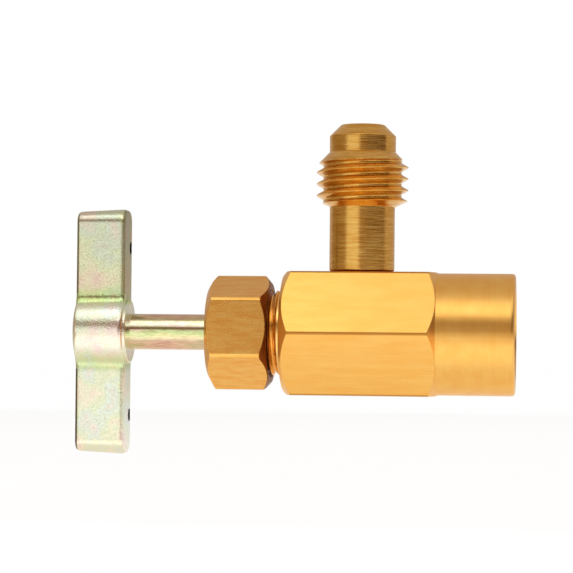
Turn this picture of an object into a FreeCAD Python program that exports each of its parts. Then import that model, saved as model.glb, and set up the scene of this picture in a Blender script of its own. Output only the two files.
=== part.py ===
import FreeCAD, Part
import math
import os

os.makedirs("parts", exist_ok=True)

# All sizes are in millimetres. The spindle axis is X, the outlet axis is parallel to Z, and the origin
# is the centre of the face that the can seals against, at the inner end of the can thread.

# Valve body, machined from hexagon bar
body_across_flats = 17.0
body_hex_length = 21.3
body_corner_diameter = 19.45
body_end_diameter = 16.1
body_chamfer_slope = 0.8
outlet_to_seal = 12.0
outlet_to_skirt = 10.6

# Round skirt with the can socket
skirt_diameter = 16.82
skirt_corner_chamfer = 0.4
can_thread_length = 8.45
can_thread_minor = 10.98
can_mouth_chamfer = 0.8
gasket_thickness = 2.0
gasket_diameter = 13.6
gasket_hole = 4.0
gasket_groove_clearance = 0.1

# Threaded neck and stuffing box
neck_diameter = 11.8
neck_length = 7.5
neck_chamfer = 0.5
neck_relief_width = 0.55
neck_relief_depth = 0.25
stuffing_box_depth = 4.8

# Passages along the axis
spindle_thread_diameter = 6.9
spindle_thread_clearance = 0.05
body_thread_length = 10.0
chamber_diameter = 5.9
chamber_past_outlet = 4.0
seat_bore_diameter = 5.2

# Outlet stub, turned, with a male thread and a flare cone
outlet_thread_diameter = 12.7
outlet_shank_diameter = 9.0
outlet_band_diameter = 9.15
outlet_nose_diameter = 6.0
outlet_bore_diameter = 4.4
outlet_height = 28.9
outlet_thread_start = 17.5
outlet_thread_runout = 0.9
outlet_band_start = 25.1
outlet_lead_slope = 1.04
outlet_foot_chamfer = 0.28
outlet_lip_chamfer = 0.3
spigot_diameter = 7.0
spigot_depth = 3.5
spigot_clearance = 0.02
port_diameter = 3.6

# Gland nut
nut_across_flats = 14.0
nut_corner_diameter = 15.88
nut_back_diameter = 12.5
nut_back_slope = 0.58
nut_front_diameter = 13.8
nut_front_slope = 0.87
nut_length = 8.6
nut_gap = 1.8
nut_wall = 1.8
nut_turn = 6.0
nut_thread_clearance = 0.03
nut_hole_clearance = 0.13
nut_mouth_chamfer = 0.6

# Packing in the stuffing box
packing_section = 1.685
packing_ring_thickness = 1.6
packing_ring_count = 2
packing_washer_thickness = 0.6
follower_flange_diameter = 10.4
follower_flange_thickness = 0.9
packing_clearance = 0.02
washer_clearance = 0.08

# Spindle and piercing needle
spindle_diameter = 4.95
spindle_exposed = 11.3
spindle_thread_length = 2.8
spindle_stop_clearance = 0.05
nose_diameter = 4.7
nose_length = 13.15
nose_chamfer = 0.3
ring_width = 1.0
ring_proud = 0.2
ring_groove_floor = 3.0
ring_groove_clearance = 0.05
ring_to_nose_end = 1.2
needle_diameter = 2.0
needle_seat_depth = 4.0
needle_clearance = 0.01
needle_tip_length = 2.6
needle_tip_setback = 2.0

# Cast wing handle
wing_thickness = 6.95
hub_diameter = 10.4
hub_proud_inner = 0.35
hub_proud_outer = 0.1
wing_width = 5.7
wing_half_height = 17.05
wing_corner_radius = 1.3
crease_radius = 1.6
handle_draft = 3.0
handle_edge_chamfer = 0.45
tang_across_flats = 3.4
tang_clearance = 0.03
rivet_head_diameter = 5.6
rivet_head_thickness = 0.6
rivet_recess_diameter = 6.4
rivet_recess_depth = 0.8
pin_mark_diameter = 1.8
pin_mark_depth = 0.4
pin_mark_height = 11.7
pin_mark_side = 1.6

# The stuffing box holds the packing round the spindle
stuffing_box_diameter = spindle_diameter + 2 * (packing_section + 2 * packing_clearance)

# Stations along the spindle axis
outlet_x = -outlet_to_seal
skirt_end_x = can_thread_length + can_mouth_chamfer
skirt_start_x = outlet_x + outlet_to_skirt
hex_start_x = skirt_start_x - body_hex_length
neck_end_x = hex_start_x - neck_length
stuffing_floor_x = neck_end_x + stuffing_box_depth
body_thread_end_x = stuffing_floor_x + body_thread_length
chamber_end_x = outlet_x + chamber_past_outlet
gasket_back_x = -gasket_thickness
nut_front_x = hex_start_x - nut_gap
nut_back_x = nut_front_x - nut_length
nut_floor_x = nut_back_x + nut_wall
spindle_thread_x = stuffing_floor_x + spindle_stop_clearance
nose_start_x = spindle_thread_x + spindle_thread_length
nose_end_x = nose_start_x + nose_length
hub_inner_x = nut_back_x - spindle_exposed
wing_inner_x = hub_inner_x - hub_proud_inner
wing_outer_x = wing_inner_x - wing_thickness
hub_outer_x = wing_outer_x - hub_proud_outer


def point(x, r):
    """Point of a half profile, x along the spindle axis and r away from it."""
    return FreeCAD.Vector(x, 0, r)


def turned(profile):
    """Solid of revolution about the X axis from (x, r) corners."""
    wire = Part.makePolygon([point(x, r) for x, r in profile + profile[:1]])
    return Part.Face(wire).revolve(FreeCAD.Vector(0, 0, 0), FreeCAD.Vector(1, 0, 0), 360)


def turned_upright(profile):
    """Solid of revolution about the outlet axis from (z, r) corners."""
    corners = [FreeCAD.Vector(outlet_x + r, 0, z) for z, r in profile + profile[:1]]
    face = Part.Face(Part.makePolygon(corners))
    return face.revolve(FreeCAD.Vector(outlet_x, 0, 0), FreeCAD.Vector(0, 0, 1), 360)


def bore(x0, x1, diameter):
    """Cylinder along the spindle axis from x0 to x1."""
    start = FreeCAD.Vector(x0, 0, 0)
    return Part.makeCylinder(diameter / 2, x1 - x0, start, FreeCAD.Vector(1, 0, 0))


def upright_bore(z0, z1, diameter):
    """Cylinder along the outlet axis from z0 to z1."""
    start = FreeCAD.Vector(outlet_x, 0, z0)
    return Part.makeCylinder(diameter / 2, z1 - z0, start, FreeCAD.Vector(0, 0, 1))


def hexagon_bar(x0, x1, across_flats, turn):
    """Hexagon bar along X with a corner towards -Y, turned about X by turn degrees."""
    corner = across_flats / 2 / math.cos(math.radians(30))
    corners = []
    for k in range(7):
        a = math.radians(180 - turn + 60 * k)
        corners.append(FreeCAD.Vector(x0, corner * math.cos(a), corner * math.sin(a)))
    return Part.Face(Part.makePolygon(corners)).extrude(FreeCAD.Vector(x1 - x0, 0, 0))


def save(shape, node):
    """Write one node, cleaned of split faces, as its own STEP file."""
    clean = shape.removeSplitter()
    solid = clean.Solids[0] if len(clean.Solids) == 1 else clean
    solid.exportStep("parts/" + node + ".step")


def valve_body():
    """Hexagon body with chamfered ends, a round skirt, a threaded neck and every passage."""
    corner_r = body_corner_diameter / 2
    end_r = body_end_diameter / 2
    skirt_r = skirt_diameter / 2
    left_chamfer = (corner_r - end_r) * body_chamfer_slope
    right_chamfer = (corner_r - skirt_r) * body_chamfer_slope
    bar = hexagon_bar(hex_start_x, skirt_start_x, body_across_flats, 0)
    envelope = turned([(hex_start_x, 0), (hex_start_x, end_r), (hex_start_x + left_chamfer, corner_r),
                       (skirt_start_x - right_chamfer, corner_r), (skirt_start_x, skirt_r),
                       (skirt_start_x, 0)])
    body = bar.common(envelope)

    neck_r = neck_diameter / 2
    skirt = turned([(skirt_start_x, 0), (skirt_start_x, skirt_r), (skirt_end_x - skirt_corner_chamfer, skirt_r),
                    (skirt_end_x, skirt_r - skirt_corner_chamfer), (skirt_end_x, 0)])
    neck = turned([(neck_end_x, 0), (neck_end_x, neck_r - neck_chamfer),
                   (neck_end_x + neck_chamfer, neck_r),
                   (hex_start_x - neck_relief_width - neck_relief_depth, neck_r),
                   (hex_start_x - neck_relief_width, neck_r - neck_relief_depth),
                   (hex_start_x, neck_r - neck_relief_depth), (hex_start_x, 0)])
    body = body.fuse([skirt, neck])

    thread_r = can_thread_minor / 2
    groove_r = gasket_diameter / 2 + gasket_groove_clearance
    socket = turned([(gasket_back_x, 0), (gasket_back_x, groove_r), (0, groove_r), (0, thread_r),
                     (can_thread_length, thread_r), (skirt_end_x, thread_r + can_mouth_chamfer),
                     (skirt_end_x, 0)])
    cuts = [socket,
            bore(neck_end_x, stuffing_floor_x, stuffing_box_diameter),
            bore(stuffing_floor_x, body_thread_end_x, spindle_thread_diameter + 2 * spindle_thread_clearance),
            bore(body_thread_end_x, chamber_end_x, chamber_diameter),
            bore(chamber_end_x, gasket_back_x, seat_bore_diameter),
            upright_bore(0, body_across_flats / 2, port_diameter),
            upright_bore(body_across_flats / 2 - spigot_depth, body_across_flats / 2, spigot_diameter)]
    return body.cut(cuts)


def outlet_stub():
    """Turned stub: spigot, shank, thread with run-out and lead, sealing band and flare cone."""
    seat_z = body_across_flats / 2
    spigot_r = spigot_diameter / 2 - spigot_clearance
    shank_r = outlet_shank_diameter / 2
    thread_r = outlet_thread_diameter / 2
    band_r = outlet_band_diameter / 2
    nose_r = outlet_nose_diameter / 2
    bore_r = outlet_bore_diameter / 2
    lead_end = outlet_band_start - (thread_r - band_r) * outlet_lead_slope
    cone_start = outlet_height - (band_r - nose_r)
    return turned_upright([(seat_z - spigot_depth, bore_r), (seat_z - spigot_depth, spigot_r),
                           (seat_z, spigot_r), (seat_z, shank_r - outlet_foot_chamfer),
                           (seat_z + outlet_foot_chamfer, shank_r), (outlet_thread_start, shank_r),
                           (outlet_thread_start + outlet_thread_runout, thread_r),
                           (lead_end, thread_r), (outlet_band_start, band_r),
                           (cone_start, band_r), (outlet_height, nose_r),
                           (outlet_height, bore_r + outlet_lip_chamfer),
                           (outlet_height - outlet_lip_chamfer, bore_r)])


def gland_nut():
    """Hexagon nut with chamfered ends, eased corners, a closed end wall and a wide threaded mouth."""
    corner_r = nut_corner_diameter / 2
    back_r = nut_back_diameter / 2
    front_r = nut_front_diameter / 2
    back_chamfer = (corner_r - back_r) * nut_back_slope
    front_chamfer = (corner_r - front_r) * nut_front_slope
    # one flat faces -Y when the bar is turned by 30 degrees
    bar = hexagon_bar(nut_back_x, nut_front_x, nut_across_flats, 30 + nut_turn)
    envelope = turned([(nut_back_x, 0), (nut_back_x, back_r), (nut_back_x + back_chamfer, corner_r),
                       (nut_front_x - front_chamfer, corner_r), (nut_front_x, front_r),
                       (nut_front_x, 0)])
    mouth_r = neck_diameter / 2 + nut_thread_clearance
    mouth = turned([(nut_floor_x, 0), (nut_floor_x, mouth_r), (nut_front_x - nut_mouth_chamfer, mouth_r),
                    (nut_front_x, mouth_r + nut_mouth_chamfer / 2), (nut_front_x, 0)])
    hole = bore(nut_back_x, nut_floor_x, spindle_diameter + 2 * nut_hole_clearance)
    return bar.common(envelope).cut([mouth, hole])


def packing_washer():
    """Flat brass washer on the floor of the stuffing box, also the spindle's back stop."""
    outer_r = stuffing_box_diameter / 2 - packing_clearance
    inner_r = spindle_diameter / 2 + washer_clearance
    x1 = stuffing_floor_x
    x0 = x1 - packing_washer_thickness
    return turned([(x0, inner_r), (x0, outer_r), (x1, outer_r), (x1, inner_r)])


def packing_ring(index):
    """Square packing ring, counted from the washer outwards."""
    inner_r = spindle_diameter / 2 + packing_clearance
    outer_r = inner_r + packing_section
    x1 = stuffing_floor_x - packing_washer_thickness - index * packing_ring_thickness
    x0 = x1 - packing_ring_thickness
    return turned([(x0, inner_r), (x0, outer_r), (x1, outer_r), (x1, inner_r)])


def gland_follower():
    """Flanged sleeve between the nut's end wall and the packing."""
    sleeve_r = stuffing_box_diameter / 2 - washer_clearance
    inner_r = spindle_diameter / 2 + washer_clearance
    flange_r = follower_flange_diameter / 2
    tip_x = stuffing_floor_x - packing_washer_thickness - packing_ring_count * packing_ring_thickness
    flange_x = nut_floor_x + follower_flange_thickness
    return turned([(nut_floor_x, inner_r), (nut_floor_x, flange_r), (flange_x, flange_r),
                   (flange_x, sleeve_r), (tip_x, sleeve_r), (tip_x, inner_r)])


def can_gasket():
    """Flat rubber washer that fills the groove behind the can thread."""
    outer_r = gasket_diameter / 2
    hole_r = gasket_hole / 2
    return turned([(gasket_back_x, hole_r), (gasket_back_x, outer_r), (0, outer_r), (0, hole_r)])


def spindle():
    """Stem with a riveted square tang, a round shank, a short thread and a grooved nose."""
    shank_r = spindle_diameter / 2
    thread_r = spindle_thread_diameter / 2
    nose_r = nose_diameter / 2
    floor_r = ring_groove_floor / 2
    ring_x = nose_end_x - ring_to_nose_end
    half_groove = ring_width / 2 + ring_groove_clearance
    stem = turned([(hub_inner_x, 0), (hub_inner_x, shank_r), (spindle_thread_x, shank_r),
                   (spindle_thread_x, thread_r), (nose_start_x, thread_r), (nose_start_x, nose_r),
                   (ring_x - half_groove, nose_r), (ring_x - half_groove, floor_r),
                   (ring_x + half_groove, floor_r), (ring_x + half_groove, nose_r),
                   (nose_end_x - nose_chamfer, nose_r), (nose_end_x, nose_r - nose_chamfer),
                   (nose_end_x, 0)])
    head_x = hub_outer_x + rivet_recess_depth
    half = tang_across_flats / 2
    tang = Part.makeBox(hub_inner_x - head_x, tang_across_flats, tang_across_flats,
                        FreeCAD.Vector(head_x, -half, -half))
    head_r = rivet_head_diameter / 2
    crown = rivet_head_thickness / 2
    head = turned([(head_x - rivet_head_thickness, 0), (head_x - rivet_head_thickness, head_r - crown),
                   (head_x - crown, head_r), (head_x, head_r), (head_x, 0)])
    pocket = bore(nose_end_x - needle_seat_depth, nose_end_x, needle_diameter)
    return stem.fuse([tang, head]).cut(pocket)


def piercing_needle():
    """Hardened pin pressed into the spindle's nose, ground to a point."""
    r = needle_diameter / 2 - needle_clearance
    x0 = nose_end_x - needle_seat_depth
    tip_x = -needle_tip_setback
    return turned([(x0, 0), (x0, r), (tip_x - needle_tip_length, r), (tip_x, 0)])


def stem_seal():
    """Square-cut rubber ring round the spindle's nose, which closes the seat bore."""
    centre_x = nose_end_x - ring_to_nose_end
    inner_r = ring_groove_floor / 2 + ring_groove_clearance
    outer_r = nose_diameter / 2 + ring_proud
    x0 = centre_x - ring_width / 2
    x1 = centre_x + ring_width / 2
    return turned([(x0, inner_r), (x0, outer_r), (x1, outer_r), (x1, inner_r)])


def handle_outline(x, inset):
    """Outline of the handle at station x: a round hub and two wings, drawn in by inset."""
    hub_r = hub_diameter / 2 - inset
    side = wing_width / 2 - inset
    top = wing_half_height - inset
    crease = crease_radius + inset
    corner = wing_corner_radius - inset
    crease_z = math.sqrt((hub_r + crease) ** 2 - (side + crease) ** 2)
    crease_y = side + crease
    near = hub_r / (hub_r + crease)

    def at(y, z):
        return FreeCAD.Vector(x, y, z)

    def arc(a, b, c):
        return Part.Arc(at(*a), at(*b), at(*c)).toShape()

    def bulge(cy, cz, radius, towards_y, towards_z):
        """Middle point of an arc of given centre that lies towards a direction."""
        length = math.hypot(towards_y, towards_z)
        return (cy + radius * towards_y / length, cz + radius * towards_z / length)

    edges = []
    for up in (1, -1):
        # from the hub's +Y side round the wing that points up to the hub's -Y side
        s = up
        hub_tangent = (crease_y * near, crease_z * near)
        wing_tangent = (side, crease_z)
        middle = bulge(crease_y, crease_z, crease,
                       (hub_tangent[0] + wing_tangent[0]) / 2 - crease_y,
                       (hub_tangent[1] + wing_tangent[1]) / 2 - crease_z)
        shoulder = (side, top - corner)
        tip = (side - corner, top)
        round_middle = bulge(side - corner, top - corner, corner, 1, 1)
        path = [("arc", hub_tangent, middle, wing_tangent), ("line", wing_tangent, shoulder),
                ("arc", shoulder, round_middle, tip), ("line", tip, (corner - side, top)),
                ("arc", (corner - side, top), (-round_middle[0], round_middle[1]), (-side, top - corner)),
                ("line", (-side, top - corner), (-side, crease_z)),
                ("arc", (-side, crease_z), (-middle[0], middle[1]), (-hub_tangent[0], hub_tangent[1]))]
        for step in path:
            # the lower wing is the upper one turned by half a turn about X
            corners = [(s * y, s * z) for y, z in step[1:]]
            if step[0] == "arc":
                edges.append(arc(*corners))
            else:
                edges.append(Part.LineSegment(at(*corners[0]), at(*corners[1])).toShape())
        edges.append(arc((-s * hub_tangent[0], s * hub_tangent[1]), (-s * hub_r, 0),
                         (-s * hub_tangent[0], -s * hub_tangent[1])))
    return Part.Wire(edges)


def wing_handle():
    """Die-cast hub and wings with draft, eased edges, a square hole and two pin marks."""
    taper = math.tan(math.radians(handle_draft))
    outer = handle_outline(wing_outer_x, wing_thickness * taper)
    inner = handle_outline(wing_inner_x, 0)
    cast = Part.makeLoft([outer, inner], True, True)
    rims = [e for e in cast.Edges if e.BoundBox.XLength < 1e-6]
    cast = cast.makeChamfer(handle_edge_chamfer, rims)

    # the raised ends of the hub, a little narrower than the hub between them
    ease = handle_edge_chamfer / 2
    inner_r = hub_diameter / 2 - ease
    outer_r = inner_r - wing_thickness * taper
    hub = turned([(hub_outer_x, 0), (hub_outer_x, outer_r - ease), (wing_outer_x + ease, outer_r),
                  (wing_inner_x - ease, inner_r), (hub_inner_x - ease, inner_r),
                  (hub_inner_x, inner_r - ease), (hub_inner_x, 0)])
    half = tang_across_flats / 2 + tang_clearance
    square = Part.makeBox(hub_inner_x - hub_outer_x, 2 * half, 2 * half,
                          FreeCAD.Vector(hub_outer_x, -half, -half))
    cuts = [square, bore(hub_outer_x, hub_outer_x + rivet_recess_depth, rivet_recess_diameter)]
    for side in (1, -1):
        mark = bore(wing_inner_x - pin_mark_depth, wing_inner_x, pin_mark_diameter)
        mark.translate(FreeCAD.Vector(0, pin_mark_side, side * pin_mark_height))
        cuts.append(mark)
    return cast.fuse(hub).cut(cuts)


save(valve_body(), "valve_body")
save(outlet_stub(), "outlet_stub")
save(gland_nut(), "gland_nut")
save(gland_follower(), "gland_follower")
for ring_index in range(packing_ring_count):
    save(packing_ring(ring_index), "packing_ring_" + str(ring_index + 1))
save(packing_washer(), "packing_washer")
save(can_gasket(), "can_gasket")
save(spindle(), "spindle")
save(piercing_needle(), "piercing_needle")
save(stem_seal(), "stem_seal")
save(wing_handle(), "t_handle")
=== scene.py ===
import math

import bmesh
import bpy
import numpy as np
from mathutils import Matrix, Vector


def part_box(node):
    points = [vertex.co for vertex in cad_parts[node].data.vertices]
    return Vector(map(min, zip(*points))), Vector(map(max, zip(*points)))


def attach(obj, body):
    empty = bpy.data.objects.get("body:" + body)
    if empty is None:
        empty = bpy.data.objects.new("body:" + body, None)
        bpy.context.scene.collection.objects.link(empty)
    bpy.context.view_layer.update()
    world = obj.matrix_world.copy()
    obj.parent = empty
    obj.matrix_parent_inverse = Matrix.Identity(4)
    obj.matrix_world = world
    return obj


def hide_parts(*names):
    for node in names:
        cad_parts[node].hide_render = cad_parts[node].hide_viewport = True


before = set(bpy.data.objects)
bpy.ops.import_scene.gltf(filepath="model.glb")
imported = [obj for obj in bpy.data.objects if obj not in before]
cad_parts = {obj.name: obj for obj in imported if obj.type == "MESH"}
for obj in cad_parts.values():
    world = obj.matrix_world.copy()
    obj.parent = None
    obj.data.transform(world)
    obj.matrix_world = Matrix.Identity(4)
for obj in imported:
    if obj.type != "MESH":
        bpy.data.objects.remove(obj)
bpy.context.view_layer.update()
mm = 0.001
fullTurn = 2 * math.pi
print("frame loaded:", len(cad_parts), "nodes")


def millimetres(node):
    # Lowest and highest corner of a CAD node, in millimetres.
    low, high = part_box(node)
    return np.array(low) / mm, np.array(high) / mm


# Surfaces: every piece is a stack of rows, each row one trip round the piece

def stack(*corners):
    # Rows from (place, radius) corners, where either may be one number or a value for each angle.
    wide = [np.broadcast_arrays(*(np.atleast_1d(np.asarray(v, float)) for v in c)) for c in corners]
    count = max(c[0].size for c in wide)
    return np.stack([np.stack([np.broadcast_to(v, count) for v in c], -1) for c in wide])


def eased(points, ease, steps=4, hold=0.06):
    # Rounds the inner corners of a row stack: each becomes a parabola with legs of the length ease,
    # with one more row beyond each leg, so that the flats beside it stay flat in the shading.
    ease = np.broadcast_to(np.asarray(ease, float), (len(points) - 2,))
    rows = [points[:1]]
    t = np.linspace(0, 1, steps + 1)[:, None, None]
    for i in range(1, len(points) - 1):
        here = points[i]
        legs = []
        for other in (points[i - 1], points[i + 1]):
            length = np.linalg.norm(other - here, axis=-1, keepdims=True)
            way = (other - here) / np.maximum(length, 1e-9)
            leg = np.minimum(ease[i - 1], 0.42 * length)
            legs.append((here + way * leg, here + way * np.minimum(leg + hold, 0.48 * length)))
        if ease[i - 1] == 0:
            rows.append(here[None])
            continue
        (a, beforeA), (b, afterB) = legs
        arc = (1 - t) ** 2 * a + 2 * t * (1 - t) * here + t ** 2 * b
        rows += [beforeA[None], arc, afterB[None]]
    rows.append(points[-1:])
    return np.concatenate(rows)


def threadRows(theta, start, end, pitch, crestAt, radiusAt, perPitch=20):
    # Rows that climb with a right-hand thread: place = start + pitch * (row / perPitch + angle / turn),
    # kept between start and end. radiusAt(phase, place) gives the radius, phase 0 being a crest.
    count = int(math.ceil((end - start) / pitch * perPitch))
    row = np.arange(-perPitch, count + 1)[:, None] / perPitch
    place = start + pitch * (row + theta / fullTurn)
    phase = (start - crestAt) / pitch + row + 0 * theta
    place = np.clip(place, start, end)
    return np.stack([place, radiusAt(phase, place)], -1)


def threadDepth(phase, pitch, crestHalf, depth):
    # Depth under the crest of a 60 degree thread: a parabola over the crest, straight flanks that leave it
    # without a corner, and a root rounded by a soft limit.
    away = np.abs((phase + 0.5) % 1 - 0.5) * pitch
    flank = np.where(away < crestHalf, away ** 2 / (2 * crestHalf), away - crestHalf / 2)
    flank = flank / math.tan(math.radians(30))
    soft = 0.16
    over = np.clip((flank - depth + soft) / (2 * soft), 0, 1)
    return np.where(flank < depth - soft, flank, depth - soft + 2 * soft * (over - over ** 2 / 2))


def hexAngles(firstCorner, landHalf):
    # Angles round a hexagon in radians from 0 to a full turn: close together over the land at each corner,
    # which reaches landHalf degrees each way, and 12 more over each flat.
    near = np.concatenate([np.linspace(-2.2, 2.2, 23) * landHalf, [-2.9 * landHalf, 2.9 * landHalf]])
    far = np.linspace(8, 52, 12)
    one = np.concatenate([near, far])
    every = (firstCorner + one[None, :] + 60 * np.arange(6)[:, None]).ravel() % 360
    return np.radians(np.unique(np.round(np.concatenate([every, [0, 360]]), 5)))


def hexRadius(theta, acrossFlats, firstCorner, cornerDiameter, soft=0.05):
    # Radius of a hexagon whose corners are turned down to a diameter: the smaller of flat and cylinder,
    # rounded where they meet.
    fromCorner = (np.degrees(theta) - firstCorner + 30) % 60 - 30
    flat = acrossFlats / 2 / np.cos(np.radians(30 - np.abs(fromCorner)))
    corner = cornerDiameter / 2
    return np.minimum(flat, corner) - np.maximum(soft - np.abs(flat - corner), 0) ** 2 / (4 * soft)


def alongX(rows, theta):
    # Row stack to points round the spindle axis.
    place, radius = rows[..., 0], rows[..., 1]
    return np.stack([place, radius * np.cos(theta), radius * np.sin(theta)], -1)


def alongZ(rows, theta, centreX):
    # Row stack to points round the outlet axis.
    place, radius = rows[..., 0], rows[..., 1]
    return np.stack([centreX + radius * np.cos(theta), radius * np.sin(theta), place], -1)


def surface(name, points, closed, sharpAngle=32):
    # Mesh object from a grid of points in millimetres: four-sided faces between neighbours, and points
    # that fall together at seams and poles made one. closed joins the last row to the first.
    if closed:
        points = np.concatenate([points, points[:1]])
    rows, columns = points.shape[:2]
    index = np.arange(rows * columns).reshape(rows, columns)
    faces = np.stack([index[:-1, :-1], index[:-1, 1:], index[1:, 1:], index[1:, :-1]], -1).reshape(-1, 4)
    mesh = bpy.data.meshes.new(name)
    mesh.from_pydata((points.reshape(-1, 3) * mm).tolist(), [], faces.tolist())
    work = bmesh.new()
    work.from_mesh(mesh)
    bmesh.ops.remove_doubles(work, verts=work.verts, dist=2e-7)
    bmesh.ops.recalc_face_normals(work, faces=work.faces)
    work.to_mesh(mesh)
    work.free()
    mesh.shade_smooth()
    mesh.set_sharp_from_angle(angle=math.radians(sharpAngle))
    piece = bpy.data.objects.new(name, mesh)
    bpy.context.scene.collection.objects.link(piece)
    return piece


def cutRound(piece, start, axis, length, diameter, sides=72):
    # Takes round holes out of a piece: a cylinder from start along axis, in millimetres.
    axis = np.asarray(axis, float)
    side = np.cross(axis, [0.31, 0.95, 0.05])
    side /= np.linalg.norm(side)
    other = np.cross(axis, side)
    turn = np.linspace(0, fullTurn, sides + 1)[:, None]
    ring = np.asarray(start, float) + diameter / 2 * (np.cos(turn) * side + np.sin(turn) * other)
    low, high = ring, ring + axis * length
    middle = np.broadcast_to(np.asarray(start, float), ring.shape)
    cutter = surface("cutter", np.stack([middle, low, high, middle + axis * length]), closed=False)
    hole = piece.modifiers.new("hole", "BOOLEAN")
    hole.operation = "DIFFERENCE"
    hole.solver = "EXACT"
    hole.object = cutter
    bpy.context.view_layer.update()
    cut = bpy.data.meshes.new_from_object(piece.evaluated_get(bpy.context.evaluated_depsgraph_get()))
    piece.modifiers.clear()
    piece.data = cut
    bpy.data.objects.remove(cutter)
    cut.shade_smooth()
    cut.set_sharp_from_angle(angle=math.radians(32))


def seat(piece, node, body, finish):
    # Puts a finish on a piece, lets it stand for its CAD node and ride on that node's body.
    piece.data.materials.clear()
    piece.data.materials.append(finish)
    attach(piece, body)
    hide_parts(node)


def partFinish(piece, finish, where):
    # Gives one more finish to the faces that where(centres, normals) picks, centres in millimetres.
    mesh = piece.data
    mesh.materials.append(finish)
    count = len(mesh.polygons)
    centres, normals, index = np.empty(count * 3), np.empty(count * 3), np.empty(count, np.int32)
    mesh.polygons.foreach_get("center", centres)
    mesh.polygons.foreach_get("normal", normals)
    mesh.polygons.foreach_get("material_index", index)
    picked = where(centres.reshape(-1, 3).T / mm, normals.reshape(-1, 3).T)
    index[picked] = len(mesh.materials) - 1
    mesh.polygons.foreach_set("material_index", index)


# Materials

def linear(hexColour):
    # Linear colour from an sRGB hex value.
    parts = [int(hexColour[i:i + 2], 16) / 255 for i in (1, 3, 5)]
    return [p / 12.92 if p <= 0.04045 else ((p + 0.055) / 1.055) ** 2.4 for p in parts] + [1.0]


def addNode(tree, kind, inputs=None, **settings):
    # Adds a node, sets its settings, and gives each named input a value or a link from a socket.
    node = tree.nodes.new(kind)
    for key, value in settings.items():
        setattr(node, key, value)
    for key, value in (inputs or {}).items():
        if isinstance(value, bpy.types.NodeSocket):
            tree.links.new(value, node.inputs[key])
        else:
            node.inputs[key].default_value = value
    return node


def newMaterial(name, **shaderValues):
    # Empty principled material, its tree and its shader.
    material = bpy.data.materials.new(name)
    material.use_nodes = True
    tree = material.node_tree
    shader = tree.nodes["Principled BSDF"]
    for key, value in shaderValues.items():
        shader.inputs[key.replace("_", " ")].default_value = value
    return material, tree, shader


def stretchedNoise(tree, lengths, detail=3.0, roughness=0.55):
    # Noise on object coordinates whose features have these lengths in millimetres along X, Y and Z.
    place = addNode(tree, "ShaderNodeTexCoord").outputs["Object"]
    scaled = addNode(tree, "ShaderNodeMapping",
                     {"Vector": place, "Scale": [1 / (length * mm) for length in lengths]})
    noise = addNode(tree, "ShaderNodeTexNoise",
                    {"Vector": scaled.outputs[0], "Scale": 1.0, "Detail": detail, "Roughness": roughness})
    return noise.outputs[0]


def ramp(tree, value, stops):
    # Colour ramp from (position, hex colour) stops.
    node = addNode(tree, "ShaderNodeValToRGB", {"Fac": value})
    elements = node.color_ramp.elements
    for i, (position, colour) in enumerate(stops):
        element = elements[i] if i < 2 else elements.new(position)
        element.position = position
        element.color = linear(colour)
    return node.outputs[0]


def brass(name, values):
    # Brass with machining lines: noise drawn out along the lines gives colour, gloss and relief.
    material, tree, shader = newMaterial(name, Metallic=1.0)
    lines = stretchedNoise(tree, values["lineLengths"])
    cloud = stretchedNoise(tree, values["cloudSize"], detail=2.0)
    tint = ramp(tree, lines, [(0.30, values["dark"]), (0.70, values["light"])])
    stain = ramp(tree, cloud, [(0.35, values["stain"]), (0.65, "#FFFFFF")])
    colour = addNode(tree, "ShaderNodeMix", {0: 1.0, 6: tint, 7: stain}, data_type="RGBA",
                     blend_type="MULTIPLY")
    gloss = addNode(tree, "ShaderNodeMapRange",
                    {"Value": lines, "From Min": 0.3, "From Max": 0.7,
                     "To Min": values["roughness"] - values["roughnessSpread"],
                     "To Max": values["roughness"] + values["roughnessSpread"]})
    satin = addNode(tree, "ShaderNodeBump",
                    {"Height": stretchedNoise(tree, [values["grainSize"]] * 3), "Strength": values["grain"],
                     "Distance": values["depth"] * mm})
    relief = addNode(tree, "ShaderNodeBump",
                     {"Height": lines, "Strength": values["relief"], "Distance": values["depth"] * mm,
                      "Normal": satin.outputs[0]})
    tree.links.new(colour.outputs[2], shader.inputs["Base Color"])
    tree.links.new(gloss.outputs[0], shader.inputs["Roughness"])
    tree.links.new(relief.outputs[0], shader.inputs["Normal"])
    return material


# CZ121 brass bar, drawn: fine straight lines along the bar and a soft gloss
drawnBrassValues = {
    "light": "#FDC76D", "dark": "#F9C066", "stain": "#FDF6EA", "cloudSize": (5.0, 1.2, 1.2),
    "lineLengths": (20.0, 0.14, 0.14), "roughness": 0.29, "roughnessSpread": 0.04, "relief": 0.022,
    "grainSize": 0.3, "grain": 0.06, "depth": 0.012,
}
# the same bar turned in a lathe about the spindle axis: faint rings, with a satin gloss
turnedBrassValues = {
    "light": "#FDC970", "dark": "#FAC36A", "stain": "#FDF4E6", "cloudSize": (2.0, 2.0, 2.0),
    "lineLengths": (0.16, 5.0, 5.0), "roughness": 0.31, "roughnessSpread": 0.03, "relief": 0.010,
    "grainSize": 0.24, "grain": 0.16, "depth": 0.012,
}
# the outlet stub, turned about the upright axis from a smaller bar: rougher rings, a little duller
stubBrassValues = {
    "light": "#F5CA75", "dark": "#DCA653", "stain": "#F0E0C0", "cloudSize": (3.5, 3.5, 0.35),
    "lineLengths": (2.6, 2.6, 0.14), "roughness": 0.22, "roughnessSpread": 0.07, "relief": 0.34,
    "grainSize": 0.26, "grain": 0.10, "depth": 0.02,
}
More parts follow.
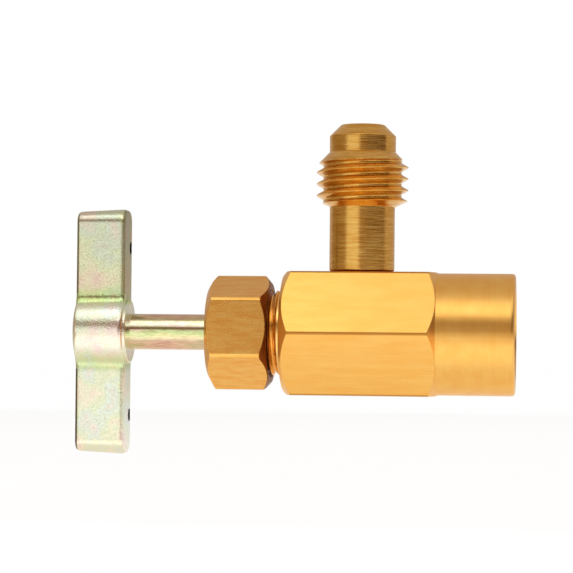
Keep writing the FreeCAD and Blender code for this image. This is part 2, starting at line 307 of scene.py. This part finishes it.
# the gland nut, of a thinner drawn bar: the same straight lines under a grainier gloss
nutBrassValues = {
    "light": "#FBC872", "dark": "#F5BC65", "stain": "#FAE8D0", "cloudSize": (2.5, 0.6, 0.6),
    "lineLengths": (5.0, 0.15, 0.15), "roughness": 0.27, "roughnessSpread": 0.05, "relief": 0.03,
    "grainSize": 0.24, "grain": 0.22, "depth": 0.012,
}
# the narrow turned lands along the hexagon's corners: rougher, and painted darker for the dark reflection
# line they show
landShadeBrassValues = drawnBrassValues | {"light": "#D89E50", "dark": "#C48A42", "roughness": 0.34}
# the neck's thread, bright where the nut has rubbed it
neckBrassValues = turnedBrassValues | {"light": "#FFD488", "dark": "#F4C274", "roughness": 0.24}
# where nut, neck and body meet, and where the stub enters the body: darker brass, painted shade in the joints
# between the parts
jointShadeBrassValues = nutBrassValues | {"light": "#A46836", "dark": "#784828", "roughness": 0.36,
                                       "lineLengths": (0.12, 8.0, 8.0)}


def passivated(name, values):
    # Yellow passivated zinc: a thin film whose colour drifts through pink, yellow, green and teal
    # over a bright metal, with the grain of the surface below it as relief.
    material, tree, shader = newMaterial(name, Metallic=1.0)
    film = stretchedNoise(tree, values["filmSize"], detail=2.0, roughness=0.45)
    tint = ramp(tree, film, values["film"])
    grain = stretchedNoise(tree, values["grainSize"], detail=3.0, roughness=0.6)
    speck = ramp(tree, grain, [(0.34, values["speck"]), (0.60, "#FFFFFF")])
    # band: colour by height along Z, which paints shade on the handle and sheen on the spindle
    height = addNode(tree, "ShaderNodeSeparateXYZ",
                     {0: addNode(tree, "ShaderNodeTexCoord").outputs["Object"]}).outputs["Z"]
    low, high = values["bandFrom"] * mm, values["bandTo"] * mm
    place = addNode(tree, "ShaderNodeMapRange",
                    {"Value": height, "From Min": low, "From Max": high}).outputs[0]
    band = ramp(tree, place, values["band"])
    filmAndShade = addNode(tree, "ShaderNodeMix", {0: 1.0, 6: tint, 7: band}, data_type="RGBA",
                     blend_type="MULTIPLY")
    colour = addNode(tree, "ShaderNodeMix", {0: 1.0, 6: filmAndShade.outputs[2], 7: speck}, data_type="RGBA",
                     blend_type="MULTIPLY")
    relief = addNode(tree, "ShaderNodeBump",
                     {"Height": grain, "Strength": values["relief"], "Distance": values["depth"] * mm})
    gloss = addNode(tree, "ShaderNodeMapRange",
                    {"Value": grain, "From Min": 0.3, "From Max": 0.7, "To Min": values["roughness"] + 0.06,
                     "To Max": values["roughness"] - 0.06})
    tree.links.new(colour.outputs[2], shader.inputs["Base Color"])
    tree.links.new(gloss.outputs[0], shader.inputs["Roughness"])
    tree.links.new(relief.outputs[0], shader.inputs["Normal"])
    return material


# zinc die casting: band gives colour by height, from the lower wing's end to the upper one's: a darker,
# greener tone in the creases beside the hub, and painted shade that makes the upper wing darker than the
# lower
castZincValues = {
    "filmSize": (4.0, 4.0, 4.6),
    "film": [(0.30, "#FFE8E8"), (0.42, "#FFFAEC"), (0.52, "#F3FCE4"), (0.60, "#EEFAF4"), (0.72, "#FFF2F0")],
    "bandFrom": -17.05, "bandTo": 17.05,
    "band": [(0.00, "#FFF6F4"), (0.12, "#FFFFFC"), (0.33, "#FFFFFC"), (0.355, "#DDE6C4"), (0.385, "#E9EDD2"),
             (0.42, "#FFFFFF"), (0.60, "#FFFFFF"), (0.625, "#DDEBB2"), (0.655, "#D9E6BC"), (0.69, "#ECEADA"),
             (1.00, "#E9E9DC")],
    "grainSize": (0.26, 0.26, 0.26), "speck": "#F4F2E8", "roughness": 0.24, "relief": 0.55, "depth": 0.05,
}
# the upper wing's inner face: rougher, and painted darker as shade
innerShadeZincValues = castZincValues | {"band": [(0.62, "#C8C2A6"), (1, "#B4AE98")], "roughness": 0.34,
                                      "relief": 0.8}
# the rounded edges of the wings' outer face, painted dark as a dark reflection along the rims
rimShadeZincValues = castZincValues | {"band": [(0, "#76766A"), (0.4, "#8A8A7A"), (1, "#B0B09C")]}
# the ejector pin marks, dull, and painted dark as the shadow inside them
pitShadowZincValues = castZincValues | {"band": [(0, "#3A3830"), (1, "#3A3830")], "roughness": 0.5}
# drawn steel, zinc plated: band gives colour by height, a painted sheen: the film's pink along the top and
# bottom of the stem and a greener middle, as a grazing view shows them
platedSteelValues = {
    "filmSize": (9.0, 2.0, 2.0),
    "film": [(0.32, "#F6DACE"), (0.45, "#F6F2CE"), (0.56, "#E6F4CC"), (0.70, "#F8E0D6")],
    "bandFrom": -2.48, "bandTo": 2.48,
    "band": [(0.12, "#F6DAD8"), (0.22, "#F8DEDE"), (0.34, "#FBF4EE"), (0.46, "#EDF2D6"), (0.70, "#FFFFFF"),
             (0.84, "#F0DCD4")],
    "grainSize": (1.2, 0.2, 0.2), "speck": "#E4E0D0", "roughness": 0.16, "relief": 0.16, "depth": 0.014,
}


def groundSteel(name):
    # Hardened steel pin, ground: bright, with fine rings.
    material, tree, shader = newMaterial(name, Metallic=1.0)
    lines = stretchedNoise(tree, (0.08, 3.0, 3.0))
    tree.links.new(ramp(tree, lines, [(0.3, "#A9ABAD"), (0.7, "#C4C6C8")]), shader.inputs["Base Color"])
    relief = addNode(tree, "ShaderNodeBump", {"Height": lines, "Strength": 0.2, "Distance": 0.01 * mm})
    tree.links.new(relief.outputs[0], shader.inputs["Normal"])
    shader.inputs["Roughness"].default_value = 0.25
    return material


def mouldedRubber(name):
    # Moulded nitrile rubber: black, dull, faintly mottled.
    material, tree, shader = newMaterial(name, Roughness=0.62, IOR=1.52)
    mottle = stretchedNoise(tree, (0.6, 0.6, 0.6))
    tree.links.new(ramp(tree, mottle, [(0.3, "#17171A"), (0.7, "#242427")]), shader.inputs["Base Color"])
    relief = addNode(tree, "ShaderNodeBump", {"Height": mottle, "Strength": 0.3, "Distance": 0.03 * mm})
    tree.links.new(relief.outputs[0], shader.inputs["Normal"])
    return material


def sinteredPacking(name):
    # Sintered fluoropolymer packing: white, waxy, slightly translucent to the eye.
    material, tree, shader = newMaterial(name, Roughness=0.42, IOR=1.36)
    mottle = stretchedNoise(tree, (1.2, 1.2, 1.2))
    tree.links.new(ramp(tree, mottle, [(0.3, "#DEDDD6"), (0.7, "#ECEBE6")]), shader.inputs["Base Color"])
    return material


drawnBrass = brass("drawnBrass", drawnBrassValues)
turnedBrass = brass("turnedBrass", turnedBrassValues)
stubBrass = brass("stubBrass", stubBrassValues)
nutBrass = brass("nutBrass", nutBrassValues)
turnedNutBrass = brass("turnedNutBrass", nutBrassValues | {"lineLengths": (0.12, 8.0, 8.0)})
landShadeBrass = brass("landShadeBrass", landShadeBrassValues)
neckBrass = brass("neckBrass", neckBrassValues)
jointShadeBrass = brass("jointShadeBrass", jointShadeBrassValues)
castZinc = passivated("castZinc", castZincValues)
innerShadeZinc = passivated("innerShadeZinc", innerShadeZincValues)
rimShadeZinc = passivated("rimShadeZinc", rimShadeZincValues)
pitShadowZinc = passivated("pitShadowZinc", pitShadowZincValues)
platedSteel = passivated("platedSteel", platedSteelValues)
needleSteel = groundSteel("needleSteel")
sealRubber = mouldedRubber("sealRubber")
packingWhite = sinteredPacking("packingWhite")
print("materials made")


# Valve body: hexagon bar with a turned neck, skirt and socket

bodyLow, bodyHigh = millimetres("valve_body")
body = {
    "acrossFlats": 17.0, "cornerDiameter": 19.45, "endDiameter": 16.1, "chamferSlope": 0.8,
    "landHalf": 0.93, "neckLength": 7.5, "neckDiameter": 11.8, "neckChamfer": 0.5, "neckChamferSlope": 1.4,
    "neckPitch": 1.0, "neckThreadDepth": 0.6, "neckCrestHalf": 0.12, "neckCrestAt": 0.3,
    "neckRowsPerPitch": 28, "neckFade": 0.5, "reliefRamp": 0.25,
    "reliefWidth": 0.55, "reliefDepth": 0.25, "jointShadeLength": 0.3,
    "hexLength": 21.3, "skirtDiameter": 16.82, "skirtCorner": 0.55, "edge": 0.07,
    "canPitch": 1.5875, "canThreadLength": 8.45, "canMinor": 10.98, "canDepth": 0.78, "canCrestHalf": 0.24,
    "canCrestAt": 0.4, "canRowsPerPitch": 16, "gutterEnd": 0.5, "gutterRamp": 0.3,
    "grooveDiameter": 13.8, "grooveLength": 2.0, "seatDiameter": 5.2, "chamberDiameter": 5.9,
    "spindleBore": 7.0, "spindleBoreLength": 10.0, "boxDiameter": 8.4, "boxDepth": 4.8,
    "chamberEnd": -8.0, "outletX": -12.0, "portDiameter": 3.6, "spigotDiameter": 7.0, "spigotDepth": 3.5,
    # where its finishes change: faces turned this far to the ends, and margins round neck and lands
    "endFacing": 0.25, "neckMargin": 0.02, "shoulderMargin": 0.01, "landMargin": 0.04,
}


def makeBody(v):
    # Closed profile from the neck's end over the hexagon and skirt, and back through the socket and
    # bores. Each chamfer starts where its cone meets the flat, so its edge is a true curve.
    theta = hexAngles(180, v["landHalf"])
    hexR = hexRadius(theta, v["acrossFlats"], 180, v["cornerDiameter"])
    neckEnd, skirtEnd = bodyLow[0], bodyHigh[0]
    hexStart = neckEnd + v["neckLength"]
    hexEnd = hexStart + v["hexLength"]
    neckR, endR, skirtR = v["neckDiameter"] / 2, v["endDiameter"] / 2, v["skirtDiameter"] / 2
    reliefR = neckR - v["reliefDepth"]
    boxR, boreR, chamberR = v["boxDiameter"] / 2, v["spindleBore"] / 2, v["chamberDiameter"] / 2
    seatR, grooveR, minorR = v["seatDiameter"] / 2, v["grooveDiameter"] / 2, v["canMinor"] / 2
    canMajor = minorR + v["canDepth"]
    threadStart, threadEnd = neckEnd, hexStart - v["reliefWidth"]

    def neckRadius(phase, place):
        # Screw form that fades out before the relief groove, under the chamfer at the neck's end.
        limit = neckR - np.maximum(v["neckChamfer"] - (place - threadStart), 0) * v["neckChamferSlope"]
        fade = np.clip((threadEnd - place) / v["neckFade"], 0, 1)
        depth = threadDepth(phase, v["neckPitch"], v["neckCrestHalf"], v["neckThreadDepth"]) * fade
        floor = reliefR + (neckR - reliefR) * np.clip((threadEnd - place) / v["reliefRamp"], 0, 1)
        return np.minimum(np.minimum(neckR - depth, limit), floor)

    def socketRadius(phase, place):
        # Screw form inside, opened to the full diameter at the mouth and beside the gasket.
        mouth = minorR + np.clip(place - v["canThreadLength"], 0, canMajor - minorR)
        gutter = minorR + (canMajor - minorR) * np.clip((v["gutterEnd"] - place) / v["gutterRamp"], 0, 1)
        depth = threadDepth(phase, v["canPitch"], v["canCrestHalf"], v["canDepth"])
        return np.maximum(np.maximum(canMajor - depth, mouth), gutter)

    neck = threadRows(theta, threadStart, threadEnd, v["neckPitch"], threadStart + v["neckCrestAt"],
                      neckRadius, v["neckRowsPerPitch"])
    neckTip = neckRadius(np.zeros(1), np.full(1, threadStart))[0]
    outer = eased(stack((threadEnd, reliefR + 0 * theta), (hexStart, reliefR), (hexStart, endR),
                        (hexStart + (hexR - endR) * v["chamferSlope"], hexR),
                        (hexEnd - (hexR - skirtR) * v["chamferSlope"], hexR),
                        (hexEnd, skirtR), (skirtEnd, skirtR), (skirtEnd, canMajor)),
                  [0, 0.05, v["edge"], v["edge"], 0.03, v["skirtCorner"]], steps=5)
    socket = threadRows(theta, 0, skirtEnd, v["canPitch"], v["canCrestAt"], socketRadius,
                        v["canRowsPerPitch"])[::-1]
    inner = stack((0, canMajor + 0 * theta), (0, grooveR), (-v["grooveLength"], grooveR),
                  (-v["grooveLength"], seatR), (v["chamberEnd"], seatR), (v["chamberEnd"], chamberR),
                  (neckEnd + v["boxDepth"] + v["spindleBoreLength"], chamberR),
                  (neckEnd + v["boxDepth"] + v["spindleBoreLength"], boreR),
                  (neckEnd + v["boxDepth"], boreR), (neckEnd + v["boxDepth"], boxR),
                  (neckEnd, boxR), (neckEnd, neckTip))
    piece = surface("valveBody", alongX(np.concatenate([neck, outer, socket, inner]), theta), closed=True)
    top = v["acrossFlats"] / 2
    cutRound(piece, (v["outletX"], 0, 0), (0, 0, 1), top, v["portDiameter"])
    cutRound(piece, (v["outletX"], 0, top - v["spigotDepth"]), (0, 0, 1), v["spigotDepth"] + 1,
             v["spigotDiameter"])
    return piece


valveBody = makeBody(body)
seat(valveBody, "valve_body", "valve", drawnBrass)
hexStart = bodyLow[0] + body["neckLength"]
hexEnd = hexStart + body["hexLength"]
jointShadeEnd = millimetres("gland_nut")[1][0] + body["jointShadeLength"]
neckEdge = hexStart - body["shoulderMargin"]
neckOuter = body["neckDiameter"] / 2 + body["neckMargin"]
landRadius = body["cornerDiameter"] / 2 - body["landMargin"]
partFinish(valveBody, turnedBrass,
           lambda c, n: (c[0] < hexStart) | (c[0] > hexEnd) | (np.abs(n[0]) > body["endFacing"]))
partFinish(valveBody, neckBrass, lambda c, n: (c[0] < neckEdge) & (np.hypot(c[1], c[2]) < neckOuter))
# painted shade: the neck under the gland nut and just beyond its face, in darker brass
partFinish(valveBody, jointShadeBrass, lambda c, n: c[0] < jointShadeEnd)
# painted reflection: the corner lands in darker brass, as a dark line along each corner
partFinish(valveBody, landShadeBrass, lambda c, n: np.hypot(c[1], c[2]) > landRadius)
print("valve body made:", len(valveBody.data.polygons), "faces")


# Outlet stub: spigot, shank, half-inch thread, sealing band and flare cone

stubLow, stubHigh = millimetres("outlet_stub")
stub = {
    "boreDiameter": 4.4, "spigotDiameter": 6.96, "spigotDepth": 3.5, "shankDiameter": 9.0,
    "footChamfer": 0.28, "threadDiameter": 12.7, "threadStart": 17.5, "runOut": 0.9, "bandStart": 25.1,
    "bandDiameter": 9.15,
    "leadSlope": 1.04, "noseDiameter": 6.0, "lip": 0.3, "pitch": 1.5875, "depth": 0.95, "crestHalf": 0.13,
    "crestAt": 21.43, "rowsPerPitch": 40, "edge": 0.05,
}


def makeStub(v):
    # Closed profile from the spigot over the thread to the nose and back through the bore. The thread is
    # the smaller of the screw form, the lead cone and the run-out cone.
    theta = np.linspace(0, fullTurn, 193)
    foot, top = stubLow[2] + v["spigotDepth"], stubHigh[2]
    boreR, spigotR, shankR = v["boreDiameter"] / 2, v["spigotDiameter"] / 2, v["shankDiameter"] / 2
    threadR, bandR, noseR = v["threadDiameter"] / 2, v["bandDiameter"] / 2, v["noseDiameter"] / 2
    start, end = v["threadStart"], v["bandStart"]

    def radius(phase, place):
        # The smallest of screw form, lead cone and run-out cone.
        lead = bandR + (end - place) / v["leadSlope"]
        runOut = shankR + (place - start) * (threadR - shankR) / v["runOut"]
        screw = threadR - threadDepth(phase, v["pitch"], v["crestHalf"], v["depth"])
        return np.minimum(np.minimum(screw, lead), runOut)

    lower = eased(stack((stubLow[2], boreR + 0 * theta), (stubLow[2], spigotR), (foot, spigotR),
                        (foot, shankR - v["footChamfer"]), (foot + v["footChamfer"], shankR),
                        (start, shankR)),
                  [0.2, 0.02, 0.03, v["edge"]])
    screw = threadRows(theta, start, end, v["pitch"], v["crestAt"], radius, v["rowsPerPitch"])
    upper = eased(stack((end, bandR + 0 * theta), (top - (bandR - noseR), bandR), (top, noseR),
                        (top, boreR + v["lip"]), (top - v["lip"], boreR), (stubLow[2], boreR)),
                  [v["edge"] * 2, v["edge"] * 2, 0.04, 0.04])
    rows = np.concatenate([lower, screw, upper])
    return surface("outletStub", alongZ(rows, theta, body["outletX"]), closed=True)


outletStub = makeStub(stub)
seat(outletStub, "outlet_stub", "valve", stubBrass)
footTop = stubLow[2] + stub["spigotDepth"] + stub["footChamfer"]
# painted shade: the stub's foot, where it sits in the body, in darker brass
partFinish(outletStub, jointShadeBrass, lambda c, n: c[2] < footTop)
print("outlet stub made:", len(outletStub.data.polygons), "faces")


# Gland nut

nutLow, nutHigh = millimetres("gland_nut")
nut = {
    "acrossFlats": 14.0, "cornerDiameter": 15.88, "turn": 6.0, "backDiameter": 12.5, "backSlope": 0.58,
    "frontDiameter": 13.8, "frontSlope": 0.87, "frontShade": 0.8, "wall": 1.8, "mouthDiameter": 11.86,
    "mouthChamfer": 0.6, "holeDiameter": 5.21, "edge": 0.06, "landHalf": 1.84, "softCorner": 0.06,
    "endFacing": 0.25,
}


def makeNut(v):
    # Closed profile over the hexagon with a chamfer at each end, and back through the mouth and hole.
    corner = 180 - (30 + v["turn"])
    theta = hexAngles(corner, v["landHalf"])
    hexR = hexRadius(theta, v["acrossFlats"], corner, v["cornerDiameter"], soft=v["softCorner"])
    back, front = nutLow[0], nutHigh[0]
    backR, frontR = v["backDiameter"] / 2, v["frontDiameter"] / 2
    mouthR, holeR = v["mouthDiameter"] / 2, v["holeDiameter"] / 2
    rows = eased(stack((back + v["wall"], holeR + 0 * theta), (back, holeR), (back, backR),
                       (back + (hexR - backR) * v["backSlope"], hexR),
                       (front - (hexR - frontR) * v["frontSlope"], hexR),
                       (front, frontR), (front, mouthR + v["mouthChamfer"] / 2),
                       (front - v["mouthChamfer"], mouthR), (back + v["wall"], mouthR),
                       (back + v["wall"], holeR + 0.01)),
                 [0.12, 0.1, v["edge"], v["edge"], 0.05, 0.04, 0.03, 0], steps=5)
    return surface("glandNut", alongX(rows, theta), closed=True)


glandNut = makeNut(nut)
seat(glandNut, "gland_nut", "valve", nutBrass)
partFinish(glandNut, turnedNutBrass, lambda c, n: np.abs(n[0]) > nut["endFacing"])
# painted shade: the nut's front face, towards the body, in darker brass
partFinish(glandNut, jointShadeBrass,
           lambda c, n: (n[0] > nut["endFacing"]) & (c[0] > nutHigh[0] - nut["frontShade"]))
print("gland nut made:", len(glandNut.data.polygons), "faces")


# Wing handle: hub and two wings, cast with draft towards its outer face

handleLow, handleHigh = millimetres("t_handle")
handle = {
    "thickness": 6.95, "hubDiameter": 10.4, "proudInner": 0.35, "wingWidth": 5.7, "halfHeight": 17.05,
    "creaseHeight": 5.2, "corner": 1.9, "crease": 1.6, "draft": 3.0, "edge": 0.7, "squareHole": 3.46,
    "recessDiameter": 6.4, "recessDepth": 0.8, "markDiameter": 1.8, "markDepth": 0.4, "markHeight": 11.7,
    "markSide": 1.6,
    # where its finishes change: faces turned this far to the inner side, and to the outer side and edges
    "innerShadeFacing": 0.35, "rimShadeFacing": 0.3,
}


def handleOutline(v, inset):
    # Outline of hub and wings, moved inwards by inset: one quarter from arc, arc, line, arc and line,
    # then mirrored into the other three.
    inset = np.asarray(inset, float)[:, None]
    hub = v["hubDiameter"] / 2 - inset
    side, top = v["wingWidth"] / 2 - inset, v["halfHeight"] - inset
    crease, corner = v["crease"] + inset, np.maximum(v["corner"] - inset, 0.05)
    centreY = v["wingWidth"] / 2 + v["crease"]
    centreZ = math.sqrt((v["hubDiameter"] / 2 + v["crease"]) ** 2 - centreY ** 2)
    tangent = math.atan2(centreZ, centreY)
    a = np.linspace(0, tangent, 15)[None, :]
    b = np.linspace(tangent + math.pi, math.pi, 9)[None, 1:]
    c = np.array([0.01, 0.03, 0.25, 0.5, 0.75, 0.96, 0.99, 1.0])[None, :]
    d = np.linspace(0, math.pi / 2, 9)[None, 1:]
    e = np.array([0.04, 0.12, 0.5, 1.0])[None, :]
    y = np.concatenate([hub * np.cos(a), centreY + crease * np.cos(b), side + 0 * c,
                        side - corner + corner * np.cos(d), (side - corner) * (1 - e)], 1)
    z = np.concatenate([hub * np.sin(a), centreZ + crease * np.sin(b), centreZ + (top - corner - centreZ) * c,
                        top - corner + corner * np.sin(d), top + 0 * e], 1)
    half = np.concatenate([np.stack([y, z], -1), np.stack([-y, z], -1)[:, -2::-1]], 1)
    return np.concatenate([half, -half[:, 1:]], 1)


def makeHandle(v):
    # Rings from the square hole over the inner hub end, the inner face, the drafted side, the outer face
    # and the rivet recess, back into the square hole.
    hubInner, hubOuter = handleHigh[0], handleLow[0]
    inner = hubInner - v["proudInner"]
    outer = inner - v["thickness"]
    taper = v["thickness"] * math.tan(math.radians(v["draft"]))
    side = eased(stack((v["edge"] * 2, inner), (0, inner), (taper, outer), (taper + v["edge"] * 2, outer)),
                 [v["edge"], v["edge"]], steps=7)[1:-1, 0]
    outline = handleOutline(v, side[:, 0])
    places = np.broadcast_to(side[:, 1][:, None, None], outline.shape[:2] + (1,))
    walls = np.concatenate([places, outline], -1)
    angle = np.arctan2(outline[0, :, 1], outline[0, :, 0])

    def rings(rows):
        # Row stack to points round the spindle axis, at the outline's own angles.
        turn = np.broadcast_to(angle, rows.shape[:2])
        return np.stack([rows[..., 0], rows[..., 1] * np.cos(turn), rows[..., 1] * np.sin(turn)], -1)

    square = v["squareHole"] / 2 / np.maximum(np.abs(np.cos(angle)), np.abs(np.sin(angle)))
    innerR = v["hubDiameter"] / 2 - v["edge"] - 0.1
    outerR = v["hubDiameter"] / 2 - taper - v["edge"] - 0.1
    recessR, floor = v["recessDiameter"] / 2, hubOuter + v["recessDepth"]
    innerEnd = rings(eased(stack((hubInner, square), (hubInner, innerR), (inner, innerR + 0.06),
                                 (inner, innerR + 0.07)), [0.2, 0.02], steps=4))
    outerEnd = rings(eased(stack((outer, outerR + 0.07 + 0 * angle), (outer, outerR + 0.06),
                                 (hubOuter, outerR), (hubOuter, recessR), (floor, recessR), (floor, square)),
                           [0.02, 0.05, 0.1, 0.1], steps=4))
    points = np.concatenate([innerEnd, walls, outerEnd])
    piece = surface("wingHandle", points, closed=True)
    for up in (1, -1):
        cutRound(piece, (inner - v["markDepth"], v["markSide"], up * v["markHeight"]), (1, 0, 0),
                 v["markDepth"] + 0.5, v["markDiameter"], sides=40)
    return piece


wingHandle = makeHandle(handle)
seat(wingHandle, "t_handle", "spindle_assembly", castZinc)


def inPinMark(c, n):
    # Inside either ejector pin mark: near its axis and under the inner face, each with a hair's margin.
    away = np.hypot(c[1] - handle["markSide"], np.abs(c[2]) - handle["markHeight"])
    inner = handleHigh[0] - handle["proudInner"]
    deep = inner - c[0]
    return (away < handle["markDiameter"] / 2 + 0.02) & (deep > 0.01) & (deep < handle["markDepth"] + 0.05)


def onShadedRim(c, n):
    # On the rounded edges between a wing's outer face and its sides.
    outerEdge = (n[0] < -handle["rimShadeFacing"]) & (np.abs(n[1]) > handle["rimShadeFacing"])
    return outerEdge & (np.abs(c[2]) > handle["creaseHeight"])


# painted shade: the upper wing's inner face, in darker zinc
partFinish(wingHandle, innerShadeZinc,
           lambda c, n: (n[0] > handle["innerShadeFacing"]) & (c[2] > handle["creaseHeight"]))
# painted reflection: dark rims along the wings' outer face
partFinish(wingHandle, rimShadeZinc, onShadedRim)
# painted shadow: the inside of the ejector pin marks
partFinish(wingHandle, pitShadowZinc, inPinMark)
print("handle made:", len(wingHandle.data.polygons), "faces")


# Spindle: riveted head, square tang, shank, thread and grooved nose

spindleLow, spindleHigh = millimetres("spindle")
spindle = {
    "headDiameter": 5.6, "headThickness": 0.6, "tang": 3.4, "shankDiameter": 4.95, "threadDiameter": 6.9,
    "threadLength": 2.8, "noseDiameter": 4.7, "noseLength": 13.15, "noseChamfer": 0.3, "grooveDiameter": 3.0,
    "grooveHalf": 0.55, "grooveToEnd": 1.2, "pocketDiameter": 2.0, "pocketDepth": 4.0,
}


def makeSpindle(v):
    # Profile from the rivet head's middle to the bottom of the needle's pocket, closed at both poles.
    theta = np.linspace(0, fullTurn, 97)
    start, end = spindleLow[0], spindleHigh[0]
    hubInner = handleHigh[0]
    headR, shankR, noseR = v["headDiameter"] / 2, v["shankDiameter"] / 2, v["noseDiameter"] / 2
    square = v["tang"] / 2 / np.maximum(np.abs(np.cos(theta)), np.abs(np.sin(theta)))
    noseStart = end - v["noseLength"]
    groove = end - v["grooveToEnd"]
    crown = v["headThickness"]
    rows = eased(stack((start, 0 * theta), (start, headR - crown / 2), (start + crown / 2, headR),
                       (start + crown, headR), (start + crown, square), (hubInner, square),
                       (hubInner, shankR), (noseStart - v["threadLength"], shankR),
                       (noseStart - v["threadLength"], v["threadDiameter"] / 2),
                       (noseStart, v["threadDiameter"] / 2), (noseStart, noseR),
                       (groove - v["grooveHalf"], noseR), (groove - v["grooveHalf"], v["grooveDiameter"] / 2),
                       (groove + v["grooveHalf"], v["grooveDiameter"] / 2), (groove + v["grooveHalf"], noseR),
                       (end - v["noseChamfer"], noseR), (end, noseR - v["noseChamfer"]),
                       (end, v["pocketDiameter"] / 2), (end - v["pocketDepth"], v["pocketDiameter"] / 2),
                       (end - v["pocketDepth"], 0)),
                 [0.3, 0.2, 0.04, 0, 0, 0, 0.03, 0.05, 0.05, 0.03, 0.03, 0.02, 0.02, 0.03, 0.04, 0.04, 0, 0])
    return surface("spindleScrew", alongX(rows, theta), closed=False)


spindleScrew = makeSpindle(spindle)
seat(spindleScrew, "spindle", "spindle_assembly", platedSteel)
print("spindle made:", len(spindleScrew.data.polygons), "faces")


# Pieces that keep their CAD solids

carried = {
    "gland_follower": turnedBrass, "packing_washer": turnedBrass, "packing_ring_1": packingWhite,
    "packing_ring_2": packingWhite, "can_gasket": sealRubber, "stem_seal": sealRubber,
    "piercing_needle": needleSteel,
}
for node, finish in carried.items():
    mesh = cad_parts[node].data
    mesh.materials.clear()
    mesh.materials.append(finish)
print("inner pieces finished")


# Studio: a pale floor, and cards that only the gloss of the piece sees. Each card is a patch of a sphere,
# given by its azimuths, elevations, colour, strength and lean (rise of the patch for each degree to +X),
# and each floor card is a level rectangle, given by its reach along X and Y, height, colour and strength
studio = {
    "floorHeight": -40.0, "floorSize": 3000.0, "radius": 900.0,
    "cards": {
        "roomCard": ((-180, 180), (-2.4, 90), "#F4E6DA", 0.62, 0),
        "darkCard": ((-54, 18), (2.8, 31), "#E4B488", 0.30, 0),
        "darkRightCard": ((18, 92), (2.8, 31), "#E0A068", 0.15, 0),
        "leftCard": ((-128, -58), (-2.3, 31), "#E8CCA4", 0.46, 0),
        "softboxCard": ((-80, 80), (34, 66), "#FFFDF6", 1.04, 0),
        "keyCard": ((-40, 9), (35, 53), "#FFFDF6", 1.86, -0.7),
        "stripCard": ((-52, -11.5), (-2.2, 12), "#FFFFFC", 1.03, 0),
        "stripEdgeCard": ((-11.5, -6), (-2.2, 15), "#FFF8EA", 0.97, 0),
    },
    "floorCards": {
        "reflectorCard": ((-200, 160), (-150, -36), -39.0, "#FFFAF0", 1.25),
        "farReflectorCard": ((-400, -48), (-900, -150), -39.0, "#FFFAF0", 1.2),
        # underCard is dimmer than the white floor: a painted shadow of the piece on the floor below it, as
        # its gloss sees it
        "underCard": ((-110, 70), (-24, 160), -39.2, "#FFF6EA", 0.90),
        "fadeCard": ((-8, 110), (-900, -150), -38.9, "#FFEAD4", 0.66),
        "leftFloorCard": ((-900, -125), (-500, 300), -38.8, "#F0D8BC", 0.60),
    },
}


def emission(name, colour, strength):
    # Plain glowing card.
    material = bpy.data.materials.new(name)
    material.use_nodes = True
    tree = material.node_tree
    tree.nodes.clear()
    glow = addNode(tree, "ShaderNodeEmission", {"Color": linear(colour), "Strength": strength})
    end = addNode(tree, "ShaderNodeOutputMaterial", {"Surface": glow.outputs[0]})
    end.is_active_output = True
    return material


def hideCard(piece, colour, strength):
    # Makes a piece a glowing card that only gloss sees.
    piece.data.materials.append(emission(piece.name, colour, strength))
    piece.visible_camera = False
    piece.visible_diffuse = False
    piece.visible_shadow = False


def flatPatch(name, across, along, height):
    # Level rectangle of four faces.
    x, y = np.meshgrid(np.linspace(*across, 3), np.linspace(*along, 3))
    return surface(name, np.stack([x, y, np.full_like(x, height)], -1), closed=False)


def card(name, azimuths, elevations, radius, colour, strength, lean, centre=(-20, 0, 0)):
    # Patch of a sphere round the piece: azimuth 0 is the camera's side, positive to +X.
    a = np.linspace(*azimuths, 33)[None, :]
    e = np.radians(np.linspace(*elevations, 25)[:, None] + lean * a)
    a = np.radians(a)
    points = np.stack([radius * np.sin(a) * np.cos(e), -radius * np.cos(a) * np.cos(e),
                       radius * np.sin(e) + 0 * a], -1) + np.asarray(centre, float)
    hideCard(surface(name, points, closed=False), colour, strength)


def makeStudio(v):
    # Cards on ever smaller spheres, so that none lies in another, floor cards, floor and an even world.
    for i, (name, (azimuths, elevations, colour, strength, lean)) in enumerate(v["cards"].items()):
        card(name, azimuths, elevations, v["radius"] - 15 * i, colour, strength, lean)

    for name, (across, along, height, colour, strength) in v["floorCards"].items():
        hideCard(flatPatch(name, across, along, height), colour, strength)

    size = v["floorSize"]
    floor = flatPatch("floor", (-size, size), (-size, size), v["floorHeight"])
    material, _, shader = newMaterial("paleFloor", Roughness=0.9)
    shader.inputs["Base Color"].default_value = linear("#FFFFFF")
    floor.data.materials.append(material)

    world = bpy.data.worlds.new("studioWorld")
    world.use_nodes = True
    back = world.node_tree.nodes["Background"]
    back.inputs["Color"].default_value = (1, 1, 1, 1)
    back.inputs["Strength"].default_value = 1.0
    bpy.context.scene.world = world


makeStudio(studio)

# The photograph's camera, found by fitting some fifty edge positions
view = {"place": (15.098, -325.093, -0.398), "focalPixels": 2356.349, "frame": 573, "sensor": 36.0,
        "turns": (("X", -2.841), ("Z", 6.607), ("X", 4.022), ("Y", -0.885))}


def makeCamera(v):
    # Camera at its place, looking along +Y after its turns, its lens from the focal length in pixels.
    data = bpy.data.cameras.new("camera")
    data.sensor_width = v["sensor"]
    data.lens = v["focalPixels"] * v["sensor"] / v["frame"]
    camera = bpy.data.objects.new("camera", data)
    bpy.context.scene.collection.objects.link(camera)
    turn = Matrix.Identity(3)
    for axis, degrees in v["turns"]:
        turn = turn @ Matrix.Rotation(math.radians(degrees), 3, axis)
    turn = turn @ Matrix.Rotation(math.radians(90), 3, "X")
    camera.matrix_world = Matrix.Translation([p * mm for p in v["place"]]) @ turn.to_4x4()
    bpy.context.scene.camera = camera


makeCamera(view)
bpy.context.scene.view_settings.view_transform = "Standard"
print("studio and camera set")

bpy.context.view_layer.update()
